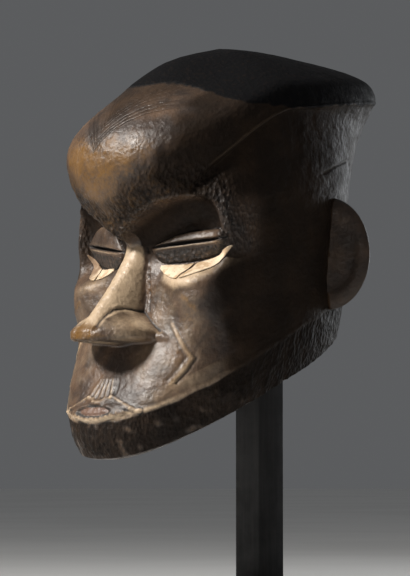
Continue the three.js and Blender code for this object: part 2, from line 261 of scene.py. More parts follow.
def crown(height):
    """The level at which a loft closes to a point."""
    return dict(front=(0, height), side=(0, height), back=(0, height), square=2, dip=1, flat=0)


def curved(levels, t, value):
    """A value of the levels at t, on a smooth curve through them."""
    i = min(len(levels) - 2, int(t))
    s = t - i
    before, start, end, after = (value(levels[clamp(i + k, 0, len(levels) - 1)]) for k in (-1, 0, 1, 2))
    bend_in = (end - before) / 2
    bend_out = (after - start) / 2
    return (
        start * (2 * s**3 - 3 * s**2 + 1)
        + bend_in * (s**3 - 2 * s**2 + s)
        + end * (3 * s**2 - 2 * s**3)
        + bend_out * (s**3 - s**2)
    )


class Loft:
    """A closed form through levels."""

    def __init__(self, levels):
        self.levels = levels
        self.rows = {}

    def row(self, t):
        """The values at one height, worked out once for all of its points."""
        if t not in self.rows:
            values = {key: curved(self.levels, t, lambda level: level[key]) for key in LEVEL_KEYS[3:6]}
            for end in LEVEL_KEYS[:3]:
                for part in (0, 1):
                    values[end, part] = curved(self.levels, t, lambda level: level[end][part])
            self.rows[t] = values
        return self.rows[t]

    def point(self, angle, t):
        row = self.row(t)
        sine, cosine = abs(math.sin(angle)), math.cos(angle)
        facing = cosine > 0
        end = "front" if facing else "back"
        square = row["square"] if facing else 2.0
        ahead = abs(cosine) / max(1e-5, row[end, 0])
        radius = ((sine / max(1e-5, row["side", 0])) ** square + ahead**square) ** (-1 / square)
        share = min(1.0, radius * ahead)
        if facing:
            flat, dip = row["flat"], clamp(row["dip"])
            by_angle = fade(flat, 90 - 0.8 * flat, math.degrees(math.asin(min(1.0, sine))))
            share = share * (1 - dip) + by_angle * dip
        height = row["side", 1] + (row[end, 1] - row["side", 1]) * share
        return Vector((radius * math.sin(angle), AXIS_Y - radius * cosine, height))


def brow_height(x):
    """Height of the brow's lower edge."""
    if x < BROW.peak_x:
        return BROW.root + BROW.rise * math.sin(math.pi / 2 * x / BROW.peak_x)
    out = (x - BROW.peak_x) / (BROW.outer_x - BROW.peak_x)
    return BROW.root + BROW.rise - BROW.outer_drop * min(2.0, out) ** 4


def socket_share(x, z):
    """How far a point moves back to the sloping floor of the hollow under the brow."""
    below = brow_height(x) - z
    end = smooth(*SOCKET.end, x)
    round_ = 1 - (1 - clamp(below / (SOCKET.edge + SOCKET.outer_edge * end))) ** 2
    crisp = SOCKET_LIP.share * fade(*SOCKET_LIP.end, x)
    under = crisp * smooth(0, SOCKET_LIP.height, below) + (1 - crisp) * round_
    return under * smooth(*SOCKET.rise, z) * (1 - end)


def slit_place(side, x, z):
    """Where a point is on the eye: along it from -1 to 1, and its height above the slit."""
    eye = EYES[side]
    along = (x - eye.x) / eye.half_length
    return along, z - eye.z - eye.slope * along


def lid_half(side, along, above):
    """Height of a lid, from the slit to its far edge."""
    reach = min(1.0, abs(along))
    taper = EYE_TAPERS[side]
    if above > 0:
        return EYES[side].upper * (1 - reach ** (taper.inner if along < 0 else taper.outer))
    kept = 1 if along < 0 else 1 - taper.lower_fade * reach ** LID.fade_end
    return EYES[side].lower * (1 - reach ** LID.lower_end) * kept


def slit_half(along):
    """Half height of the slit, which narrows to both ends."""
    return SLIT.half_height * (1 - SLIT.narrowing * along**2)


def lid_swell(side, x, z):
    """The closed lids: a lens cut by the slit, its upper half standing over the lower."""
    along, above = slit_place(side, x, z)
    if abs(along) >= 1:
        return 0.0
    half = lid_half(side, along, above)
    across = above / half
    if abs(across) >= 1:
        return 0.0
    round_ = math.sqrt((1 - across**2) * (1 - abs(along) ** (2 if along < 0 else LID.outer_end)))
    swell = LID.swell * round_
    ends = 1 - along**4
    if above < 0:
        lip = SLIT.lip * groove(above + SLIT.half_height + SLIT.lip_height / 2, SLIT.lip_height)
        step = LID.step * smooth(0, -LID.step_height, above)
        swell += (lip - step) * ends * min(1.0, 3 * round_)
    cut = fade(slit_half(along) - 0.6, slit_half(along) + 0.5, abs(above))
    return swell - SLIT.depth * cut * ends


def nose_down(z):
    """How far down the nose a height is, 0 at its root and 1 at its tip."""
    return clamp((NOSE.root_z - z) / (NOSE.root_z - NOSE.tip_z))


def nose_share(x, z):
    """How much of the nose's full reach a point has, 1 on the ridge and 0 on the cheek."""
    down = nose_down(z)
    half = NOSE_HALF.root + (NOSE_HALF.middle - NOSE_HALF.root) * down
    half += (NOSE_HALF.wings - NOSE_HALF.middle) * smooth(NOSE_HALF.wings_from, 1, down)
    out = x / half
    if out >= 1:
        return 0.0
    bottom = NOSE_BASE.z + NOSE_BASE.wing_rise * out
    top = smooth(NOSE.root_z + NOSE_ROOT.above, NOSE.root_z - NOSE_ROOT.below, z)
    blunt = smooth(WING_FALL.blunt_from, 1, down)
    slope = WING_FALL.slope
    wing = slope * out ** WING_FALL.bend + (1 - slope) * out ** WING_FALL.edge
    fall = (1 - blunt) * out ** NOSE.roundness + blunt * wing
    return (1 - fall) * smooth(bottom - NOSE_BASE.undercut, bottom, z) * top


def wing_top(x):
    """Height of the line under which the nostril's wing lies."""
    return WING.top_z - WING.slope * (x - WING.top_x)


def mouth_opening(x, z):
    """0 in the middle of the mouth's oval recess and 1 at its edge."""
    return (x / OPENING.half) ** 2 + ((z - OPENING.z) / OPENING.height) ** 2


def mouth_swell(x, z):
    """Lips round a low, wide oval recess that holds the closed mouth."""
    out = clamp(x / MOUTH.half)
    upper = MOUTH.z + MOUTH.arch * (1 - out ** MOUTH.upper_bend)
    lower = MOUTH.z - MOUTH.arch * (1 - out**2)
    middle, half = (upper + lower) / 2, max(MOUTH.thinnest / 2, (upper - lower) / 2)
    lip = max(0.0, 1 - ((z - middle) / half) ** 4) if out < 1 else 0.0
    opening = mouth_opening(x, z)
    depth = OPENING.depth * fade(0.85, 1.15, opening)
    depth -= OPENING.filled * fade(0.3, 0.75, opening)
    return MOUTH.swell * lip * (1 - out**4) - depth


def carve(point):
    """Moves a point of the plain helmet to where the carving of the face puts it."""
    x, z = abs(point.x), point.z
    if point.y > AXIS_Y:
        return point
    point.y -= sum(oval.swell * swelling(x, z, oval) for oval in (CHEEKBONE, CHEEK_HOLLOW))
    point.y -= RIGHT_TEMPLE.swell * swelling(point.x, z, RIGHT_TEMPLE)
    floor = SOCKET.floor_y + SOCKET.floor_slope * x
    point.y += max(0.0, floor - point.y) * socket_share(x, z)
    point.y -= lid_swell("left" if point.x > 0 else "right", x, z) + mouth_swell(x, z)
    share = nose_share(x, z)
    if share > 0:
        ridge = NOSE.root_y + (NOSE.tip_y - NOSE.root_y) * nose_down(z) ** NOSE.bend
        point.y -= max(0.0, point.y - ridge) * share
    return point


class Relief:
    """Shallow relief of one point: how far it stands out, and what its surface is like."""

    def __init__(self, co, t, settings):
        self.x, self.y, self.z, self.t = abs(co.x), co.y, co.z, t
        self.signed = co.x
        self.side = "left" if co.x > 0 else "right"
        self.chisel = settings.chisel_depth / MM
        self.cut = settings.line_depth / MM
        self.out = 0.0
        self.paint = dict.fromkeys(PAINTS, 0.0)

    def add(self, **amounts):
        for key, amount in amounts.items():
            self.paint[key] = clamp(self.paint[key] + amount)

    def both(self, size, seed=0.0):
        """Noise that is the same on both sides of the face."""
        return grain(self.x, self.y, self.z, size, seed)

    def each(self, size, seed=0.0):
        """Noise that differs from side to side."""
        return grain(self.signed, self.y, self.z, size, seed)

    def to(self, path, near=9):
        """Distance to a path on the face, and how far along it the point is."""
        return path_distance(path, self.x, self.z, near)

    def line(self, path, half, depth, x=None, pale=0.0, grime=0.6):
        """An incised line along a path."""
        x = self.x if x is None else x
        cut = groove(path_distance(path, x, self.z, half + 1)[0], half)
        self.out -= depth * cut
        self.add(grime=grime * cut, pale=pale * cut)


def mark_hair(r):
    """The cap, its edge with a painted highlight along its ridge, and the band of hairlines, which
    comes down to a point over the nose.
    """
    if r.t < CAP_LEVEL - 2:
        return
    front = smooth(AXIS_Y + 40, AXIS_Y - 30, r.y)
    edge = CAP_EDGE.top - CAP_EDGE.fall * smooth(*CAP_EDGE.slope, r.x)
    over = (r.z - edge) * front + 10 * (r.t - CAP_LEVEL) * (1 - front)
    r.out += CAP_EDGE.step * smooth(-1.5, 1.5, over)
    r.add(cap=smooth(-2, 2, over + 2 * r.both(9)))
    if r.t > CAP_LEVEL + 1 and r.y < AXIS_Y and r.x < 80:
        lowest = HAIR_POINT.z + HAIR_POINT.rise * (1 - math.exp(-r.x / HAIR_POINT.spread))
        away = (r.z - lowest) / (1 - HAIRLINES.narrowing * r.x)
        top = HAIRLINES.top
        r.paint["hair"] = away / HAIRLINES.pitch
        r.paint["combed"] = fade(38, 66, r.x) * (1 - r.paint["cap"])
        r.out -= HAIRLINES.sunk * (smooth(-2, 1, away) * fade(top, top + 3, away) * r.paint["combed"])
        r.add(dark=0.45 * smooth(-5, 3, away) + 0.35 * smooth(10, top + 3, away))
    ridge = groove(r.t - CAP_LEVEL - 0.03, 0.22)
    side = smooth(70, 92, r.x) if r.y < AXIS_Y else 1.0
    r.out += CAP_EDGE.ridge * ridge * side
    # Painted highlight: the top of the cap's ridge is painted lighter, where light catches it
    r.add(pale=0.16 * ridge * side)


def mark_temple(r):
    """The incised line that turns down behind each ear."""
    if r.y > -24 and 230 < r.z < 280 and r.x > 40:
        r.line(TEMPLE_LINE, 1.8, r.cut, x=r.y, grime=0.3, pale=0.2)


def mark_eye(r):
    """Tool marks on the lids, painted shade darkening the slit and the lower lid under it, a painted
    highlight along the upper lid, and the line round the eye.
    """
    along, above = slit_place(r.side, r.x, r.z)
    if abs(along) > 1.15 or r.y > -100 or not -24 < above < 24:
        return
    upper, lower = lid_half(r.side, along, 1), lid_half(r.side, along, -1)
    ends = 1 - along**4
    if SLIT.half_height < above < upper:
        marks = math.sin(r.x * 2.1 + 3 * grain(r.x, 0, r.z, 8))
        r.out += 0.28 * marks * smooth(0, 3, above - SLIT.half_height)
        # Painted highlight: lighter bands along the upper lid, where it faces the light
        r.add(pale=(0.1 + 0.1 * groove(above - 3.2, 3)) * ends)
        r.add(pale=0.1 * groove(above - upper + 2, 2.5) * ends)
    if abs(along) < 1:
        lip = groove(above + 2.7 + 0.5 * r.both(5), 1.3)
        below = smooth(-4.2, -5.5, above) * smooth(-lower - 0.5, -lower + 0.5, above)
        crumbs = r.both(2.4)
        rim = min(1.0, groove(above - upper, 1.3) + groove(above + lower, 1.3))
        # Painted shade: the slit is darkened, and so is the lower lid under it, which faces down,
        # broken by pale crumbs
        r.add(grime=fade(slit_half(along) - 0.3, slit_half(along) + 0.5, abs(above)))
        r.add(pale=0.55 * lip * ends, grime=below * (0.6 - 0.4 * crumbs))
        r.add(pale=0.3 * below * smooth(0.25, 0.7, crumbs), chipped=0.8 * below, grime=0.5 * rim)
        r.out += 0.6 * below * crumbs
        r.out -= 0.7 * rim


def mark_brow(r):
    """The rough chisel work along the brow, and painted shade darkening the hollow under it."""
    if r.y > -100 or not 150 < r.z < 262:
        return
    over = r.z - brow_height(r.x)
    near = smooth(-4, 1, over) * fade(8, 40, over) * fade(96, 102, r.x)
    chips = grain(r.signed, r.y, r.z * 0.6, 3.2) + 0.5 * r.both(1.7)
    r.out += r.chisel * 1.8 * near * chips
    r.add(grime=near * (0.42 - 0.5 * chips), worn=0.5 * near * smooth(0.1, 0.6, chips), chipped=near)
    # Painted shade: the hollow under the brow is darkened where the brow's shadow falls, all but the
    # lids
    brow_shadow = smooth(0, 5, -over) * smooth(174, 190, r.z) * fade(86, 96, r.x)
    brow_shadow *= 1 - 0.85 * smooth(0, 3, lid_swell(r.side, r.x, r.z))
    if r.x > 10:
        r.add(dark=0.9 * brow_shadow, grime=0.4 * brow_shadow)


def mark_nose(r):
    """The groove round each wing, the crack beside the nose, its pale ridge, partly worn wood and
    partly a painted sheen, its brown tip, and painted shade on its underside.
    """
    distance, along = r.to(WING_GROOVE, 12)
    if r.y < -148 and distance < math.inf:
        cut = groove(distance, WING.half) * smooth(0, 0.12, along)
        r.out -= WING.cut * cut
        r.add(grime=0.8 * cut)
        if r.z < wing_top(r.x) and r.x > 10:
            r.out += WING.swell * (smooth(0, 4, distance) * smooth(102, 107, r.z))
            r.add(pale=0.3 * groove(distance - 2.6, 2))
    if r.y < -140:
        distance, along = r.to(NOSE_CRACK, 3)
        beads = 0.55 + 0.45 * math.sin(along * CRACK.beads)
        cut = groove(distance, CRACK.half)
        r.out -= CRACK.depth * cut * beads
        r.add(grime=0.9 * cut * beads)
        hole = groove(math.hypot(r.x - CRACK_HOLE.x, r.z - CRACK_HOLE.z), CRACK_HOLE.radius)
        r.out -= CRACK_HOLE.depth * hole
        r.add(grime=hole)
    if r.y < -144 and 100 < r.z < 196 and nose_share(r.x, r.z) > 0.05:
        share = smooth(0.05, 0.3, nose_share(r.x, r.z)) * smooth(195, 182, r.z + 2 * r.both(6))
        wing = smooth(0, 3, wing_top(r.x) - r.z) * smooth(9, 13, r.x)
        tip = smooth(-202, -211, r.y) * fade(112, 128, r.z + 4 * r.both(6))
        blotches = 0.14 * r.each(13, 6) - 0.2 * smooth(0.1, 0.7, r.each(9, 4))
        # The nose is painted pale: partly pale worn wood, partly a painted sheen brightening the ridge
        r.add(pale=share * (0.88 - 0.54 * wing - 0.78 * tip + blotches))
        r.add(worn=share * (0.35 - 0.3 * wing + 0.65 * tip))
        # Painted shade: the nose's underside is darkened
        r.add(grime=0.5 * share * fade(103, 109, r.z + 2 * r.both(3)))
        r.add(chipped=0.5 * share * fade(104, 114, r.z))


def mark_philtrum(r):
    """A raised fan of ridges from the nose to the upper lip, with a crack beside it."""
    down = (PHILTRUM.top - r.z) / (PHILTRUM.top - PHILTRUM.bottom)
    if r.y > -150 or not -0.1 < down < 1.1 or r.x > 27:
        return
    spacing = PHILTRUM.spacing * (1 + PHILTRUM.flare * down)
    half = spacing * (PHILTRUM.ridges - 0.5)
    inside = smooth(half + 1.5, half - 0.5, r.x) * smooth(-0.05, 0.05, down) * smooth(1.08, 1, down)
    crest = math.cos(2 * math.pi * r.x / spacing)
    r.out += inside * (PHILTRUM.swell + PHILTRUM.crest * crest)
    r.add(pale=inside * (0.16 + 0.22 * crest + 0.2 * r.each(5, 6)))
    r.add(grime=0.35 * inside * smooth(-0.2, -0.9, crest))
    if r.signed > 0:
        r.line(PHILTRUM_CRACK, 1.4, 1.6, grime=0.9)


def mark_mouth(r):
    """The lips' double outline, the notched lower lip and the reddish mouth."""
    if r.y > -160 or not 26 < r.z < 62 or r.x > 54:
        return
    for path, high, half in LIPS:
        distance, _ = r.to(path)
        lip = groove(distance, half)
        r.out += (high + 0.5 * r.each(4.5, 3)) * lip
        r.add(pale=clamp(0.45 + 0.5 * r.each(3.5, 2)) * lip)
        r.add(grime=0.4 * groove(distance - half - 0.8, 1.2))
    r.line(INNER_LIP, 1.4, 0.9, grime=0.35)
    opening = mouth_opening(r.x, r.z)
    r.add(grime=0.75 * groove(opening - 1.0, 0.45), red=0.9 * fade(0.7, 1.0, opening))
    r.out += 0.3 * fade(0.6, 0.9, opening) * grain(r.x, r.y, r.z * 2, 3)
    notches = groove(r.to(NOTCHES)[0], 2.2) * smooth(0.1, 0.8, math.sin(r.x * 1.15 + 0.6))
    r.out += 0.9 * notches
    r.add(pale=0.5 * notches)


def mark_jaw(r):
    """The band round the jaw, dark wood deepened with painted shade, with upright tool marks, worn
    patches, and a rubbed edge partly pale and partly a painted highlight, with a painted sheen above
    it.
    """
    if r.t > 1.5:
        return
    edge = JAW.edge + JAW.wander * r.both(16, 4)
    band = fade(edge - 0.05, edge + 0.03, r.t)
    along = math.degrees(math.atan2(r.x, AXIS_Y - r.y))
    streaks = grain(along * 1.6, 0, r.z * 0.25, 5, 11)
    r.out += r.chisel * band * (0.9 * streaks + 0.7 * grain(r.x, r.y, r.z * 0.4, 2.2))
    # The band is dark wood, darkened further as painted shade where it faces down
    r.add(grime=band * (0.55 + 0.25 * streaks), dark=0.85 * band, chipped=0.7 * band)
    patch = smooth(0.15, 0.75, grain(along * 0.9, 0, r.z * 0.5, 4, 9) + 0.5 * streaks) * band
    patch *= fade(45, 80, along)
    r.add(worn=0.5 * patch, grime=-0.35 * patch, dark=-0.45 * patch)
    rub = groove(r.t - edge - 0.05, 0.12) * (0.7 + 0.5 * r.both(3))
    r.out += JAW.rub * rub
    # The rubbed edge is painted pale, partly rubbed wood and partly a painted highlight, fading towards
    # the back; a broad painted sheen lies just above it
    r.add(pale=rub * (0.75 - 0.66 * smooth(25, 62, along)))
    sheen = groove(r.t - edge - 0.3, 0.34) * smooth(12, 24, along) * fade(38, 62, along)
    r.add(pale=0.3 * sheen)
    r.out -= JAW.step * (smooth(0.5, 0.8, r.t) * band)


def mark_cheek(r):
    """The incised chevron, copper coloured between its lines, a scar, a painted sheen along the ledge
    under the eye, and painted light on the front of the cheek.
    """
    if r.y > -60 or not 48 < r.z < 175:
        return
    broken = 0.85 + 0.4 * r.both(7, 12)
    r.line(CHEVRON, 1.5, 1.2 * broken, grime=0.55)
    r.line(CHEVRON_INNER, 1.5, broken, grime=0.5)
    between = groove(r.to(CHEVRON_BAND)[0], 2.5) * clamp(broken)
    r.out += 0.6 * between
    r.add(worn=0.9 * between, pale=0.38 * between)
    distance, _ = r.to(CHEEK_SCAR, 5)
    r.out += 0.5 * groove(distance - 2, 2)
    r.add(worn=0.45 * groove(distance, 4))
    distance, _ = r.to(CHEEK_LEDGE, LEDGE.half)
    front = smooth(-104, -122, r.y) * (1 - 0.7 * smooth(76, 92, r.x))
    if r.side == "right":
        front *= LEDGE.right_share * fade(56, 78, r.x)
    r.out += LEDGE.swell * groove(distance, LEDGE.half) * front
    # Painted sheen: the ledge under the eye is painted pale where it catches the light
    r.add(pale=0.8 * groove(distance, LEDGE.pale_half) * front)
    # Painted light: the front of the cheek is painted lighter
    middle = smooth(16, 32, r.x) * fade(76, 92, r.x) * smooth(58, 74, r.z) * fade(150, 164, r.z)
    r.add(pale=middle * (0.2 + 0.16 * r.each(11, 14)))
    r.add(worn=0.3 * smooth(-0.1, 0.7, r.each(22, 2)) * fade(80, 96, r.x))


def mark_forehead(r):
    """Ochre wood where the dome is worn, most in the middle, and painted shade darkening it low over
    the brow.
    """
    if r.y > -90 or r.t < 4.2 or r.z > 320:
        return
    over = r.z - brow_height(r.x)
    low = smooth(-2, 2, over) * fade(262, 300, r.z)
    centre = fade(15, 80, r.x)
    # Painted shade: low on the dome over the brow, where it faces down, it is darkened
    under = smooth(-2, 2, over) * fade(14, 46, over + 9 * r.each(14, 3))
    worn = 0.15 + 0.6 * centre + 0.2 * r.each(16, 8)
    r.add(worn=low * worn * (1 - 0.4 * under), dark=0.75 * under)


def mark_tools(r):
    """Faint facets of the blade over the bare wood, the sides darkened almost to black as painted
    shade, and painted light on the temple beside the eye.
    """
    bare = 1 - r.paint["cap"]
    r.out += r.chisel * bare * (0.55 * r.each(6) + 0.4 * r.each(2.8, 3))
    if r.y > -60:
        r.out += r.chisel * 0.5 * grain(r.x, r.y, r.z * 0.5, 8, 7)
    # Painted shade: the sides turned away from the key light are darkened almost to black, from a line
    # that follows where the light falls off
    above = smooth(214, 244, r.z)
    side = smooth(83 - 34 * above, 95 - 19 * above, r.x + 5 * r.both(18, 5)) if r.y < AXIS_Y else 1.0
    r.add(dark=0.97 * side)
    # Painted light: less of that shade on the temple beside the eye, where light catches it
    temple_light = smooth(80, 92, r.x) * smooth(168, 190, r.z) * (1 - above) * smooth(-84, -112, r.y)
    r.add(dark=-0.5 * temple_light, chipped=0.8 * temple_light)
    dome = smooth(225, 240, r.z) * fade(70, 90, r.x) if r.y < -60 else 0.0
    r.out -= r.chisel * bare * dome * 0.3 * r.both(5.5)


MARKS = (mark_hair, mark_temple, mark_eye, mark_brow, mark_nose, mark_philtrum)
MARKS += (mark_mouth, mark_jaw, mark_cheek, mark_forehead, mark_tools)


def outer_heights():
    """Places of the fine rows along the levels."""
    heights = [0.0]
    for i, rows in enumerate([level["rows"] for level in LEVELS[1:]] + [CROWN_ROWS]):
        heights += [i + r / rows for r in range(1, rows + 1)]
    return heights


def hollow_levels():
    """The levels of the hollow inside, a wall's thickness within the helmet's."""
    levels = []
    for level, drop in zip(LEVELS, HOLLOW_DROP):
        (front, front_z), (side, side_z), (back, back_z) = level["front"], level["side"], level["back"]
        back_wall = SIDE_WALL + OVERHANG_WALL * max(0, back - OVERHANG_FROM)
        inside = {
            "front": (front - level["wall"], front_z - drop / 2),
            "side": (side - SIDE_WALL, side_z - drop),
            "back": (back - back_wall, back_z - drop),
        }
        levels.append({**level, **inside})
    return levels + [crown(MASK_HEIGHT - CROWN_WALL)]


def column_angle(longitude):
    """Angle of one column, with the columns crowded towards the front."""
    even = math.remainder(longitude + math.pi / 2, 2 * math.pi)
    return even - FRONT_CROWDING * math.sin(even)


def helmet_shell(bm):
    """Turns a sphere into the helmet: its upper part the outside, its lower part the hollow."""
    heights = outer_heights()
    rows = HOLLOW_ROWS + RIM_ROWS + len(heights) - 1
    outer, hollow = Loft(LEVELS + [crown(MASK_HEIGHT)]), Loft(hollow_levels())
    bmesh.ops.create_uvsphere(bm, u_segments=COLUMNS, v_segments=rows, radius=1)
    place = {}
    for vert in bm.verts:
        row = round((math.asin(clamp(vert.co.z, -1, 1)) + math.pi / 2) / math.pi * rows)
        angle = column_angle(math.atan2(vert.co.y, vert.co.x))
        if row < HOLLOW_ROWS:
            vert.co = hollow.point(angle, len(LEVELS) * (1 - row / HOLLOW_ROWS) ** RIM_CROWDING)
        elif row < HOLLOW_ROWS + RIM_ROWS:
            across = (row - HOLLOW_ROWS) / RIM_ROWS
            inner, edge = hollow.point(angle, 0), carve(outer.point(angle, 0))
            vert.co = inner.lerp(edge, across)
            vert.co.z += RIM_ROUND * (2 * across - 1) ** 4 - RIM_SINK
        else:
            t = heights[row - HOLLOW_ROWS - RIM_ROWS]
            vert.co = carve(outer.point(angle, t))
            place[vert.index] = t
    return place


def add_relief(bm, place, settings):
    """Stands the relief out from the shell and paints what each point's surface is like."""
    layers = {key: bm.verts.layers.float.new(key) for key in PAINTS}
    bm.normal_update()
    for vert in bm.verts:
        if vert.index not in place:
            vert[layers["dark"]] = INSIDE_DARK
            continue
        relief = Relief(vert.co, place[vert.index], settings)
        for mark in MARKS:
            mark(relief)
        vert.co += vert.normal * relief.out
        for key, layer in layers.items():
            vert[layer] = relief.paint[key]


def to_metres(bm):
    for vert in bm.verts:
        vert.co = (vert.co + Vector((0, 0, CHIN_Z))) * MM


def ear_flange(bm, side):
    """An upright D-shaped flange with a raised rim round a shallow hollow."""
    bmesh.ops.create_uvsphere(bm, u_segments=EAR_GRID[0], v_segments=EAR_GRID[1], radius=1)
    turn = math.radians(EAR.turn)
    sine, cosine = math.sin(turn), math.cos(turn)
    dark = bm.verts.layers.float.new("dark")
    for vert in bm.verts:
        radius = min(1.0, math.hypot(vert.co.x, vert.co.y))
        along = vert.co.x * (EAR.reach if vert.co.x > 0 else EAR.sink)
        up = vert.co.y * EAR.half_height
        thick = EAR.half_thick * max(0.0, 1 - radius**9) ** 0.5
        if vert.co.z < 0 and vert.co.x > -0.2:
            bowl = EAR_BOWL.depth * fade(*EAR_BOWL.edge, radius)
            thick *= 1 - bowl * smooth(-0.2, 0.1, vert.co.x)
        through = math.copysign(thick, vert.co.z) + 0.5 * grain(along, up, 0, 9)
        vert[dark] = EAR_DARK
        x = side * (EAR.root_x + along * cosine - through * sine)
        vert.co = Vector((x, EAR.y + along * sine + through * cosine, EAR.z + up))
    bmesh.ops.recalc_face_normals(bm, faces=bm.faces)


def new_object(name, data):
    """An object in the scene, at the origin."""
    item = bpy.data.objects.new(name, data)
    bpy.context.scene.collection.objects.link(item)
    return item


def new_piece(name, bm):
    """A smooth mesh object made from the working mesh."""
    mesh = bpy.data.meshes.new(name)
    bm.to_mesh(mesh)
    bm.free()
    mesh.shade_smooth()
    return new_object(name, mesh)


def settle(piece, material, node):
    """Gives a piece its material and its body, and hides the CAD node it stands for."""
    piece.data.materials.clear()
    piece.data.materials.append(material)
    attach(piece, "root")
    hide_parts(node)


class Finish:
    """A new material and short ways to add nodes to it."""

    def __init__(self, name, roughness, specular=0.5):
        self.material = bpy.data.materials.new(name)
        self.material.use_nodes = True
        self.tree = self.material.node_tree
        self.shader = self.tree.nodes["Principled BSDF"]
        self.surface("Roughness", roughness)
        self.surface("Specular IOR Level", specular)
        self.place = self.node("TexCoord").outputs["Object"]

    def surface(self, name, value):
        """Sets one of the shader's own inputs."""
        self.put(self.shader.inputs[name], value)

    def put(self, socket, value):
        """Links a socket, or gives it a value that is the same all over."""
        if isinstance(value, bpy.types.NodeSocket):
            self.tree.links.new(value, socket)
        elif socket.type == "RGBA" and len(value) == 3:
            socket.default_value = (*value, 1)
        else:
            socket.default_value = value

    def node(self, kind, **inputs):
        """A new node with some of its inputs linked or set."""
        node = self.tree.nodes.new("ShaderNode" + kind)
        for name, value in inputs.items():
            self.put(node.inputs[name], value)
        return node

    def attribute(self, name):
        node = self.node("Attribute")
        node.attribute_name = name
        return node.outputs["Fac"]

    def stretched(self, scale):
        return self.node("Mapping", Vector=self.place, Scale=scale).outputs["Vector"]

    def axis(self, name):
        """One of the object's own coordinates, in metres."""
        return self.node("SeparateXYZ", Vector=self.place).outputs[name]

    def noise(self, size, detail=4, rough=0.55, place=None):
        """Noise with features about size metres across."""
        place = place or self.place
        node = self.node("TexNoise", Vector=place, Scale=1 / size, Detail=detail, Roughness=rough)
        return node.outputs["Fac"]

    def cells(self, size, place=None):
        """Distance to the nearest of scattered points about size metres apart."""
        return self.node("TexVoronoi", Vector=place or self.place, Scale=1 / size).outputs["Distance"]

    def ramp(self, value, start, end, low=0.0, high=1.0):
        node = self.node("MapRange")
        node.interpolation_type = "SMOOTHSTEP"
        for socket, given in zip(node.inputs[:5], (value, start, end, low, high)):
            self.put(socket, given)
        return node.outputs["Result"]

    def math(self, kind, a, b=0.0):
        node = self.node("Math")
        node.operation = kind
        for socket, given in zip(node.inputs, (a, b)):
            self.put(socket, given)
        return node.outputs["Value"]

    def plus(self, a, b):
        return self.math("ADD", a, b)

    def times(self, a, b):
        return self.math("MULTIPLY", a, b)

    def mix(self, share, below, above):
        node = self.node("Mix")
        node.data_type = "RGBA"
        for name, value in (("Factor", share), ("A", below), ("B", above)):
            self.put(node.inputs[name], value)
        return node.outputs["Result"]

    def bump(self, height, depth, strength=1.0, under=None):
        node = self.node("Bump", Strength=strength, Distance=depth, Height=height)
        if under is not None:
            self.put(node.inputs["Normal"], under)
        return node.outputs["Normal"]


def hair_cuts(f, hair, combed):
    """1 along each incised hairline, in two groups with a plain band between them."""
    hair = f.plus(hair, f.ramp(f.noise(0.012, 3), 0.3, 0.7, -0.12, 0.12))
    groups = []
    for start, depth in ((HAIRLINES.lower, 1.0), (HAIRLINES.upper, 0.5)):
        along = f.math("SUBTRACT", hair, start / HAIRLINES.pitch)
        off = f.math("ABSOLUTE", f.math("SUBTRACT", along, f.math("ROUND", along)))
        line = f.ramp(off, 0.02, 0.32, depth, 0)
        inside = f.math("ABSOLUTE", f.math("SUBTRACT", along, (HAIRLINES.lines - 1) / 2))
        groups.append(f.times(line, f.ramp(inside, 1.2, 1.5, 1, 0)))
    return f.times(f.plus(*groups), combed)


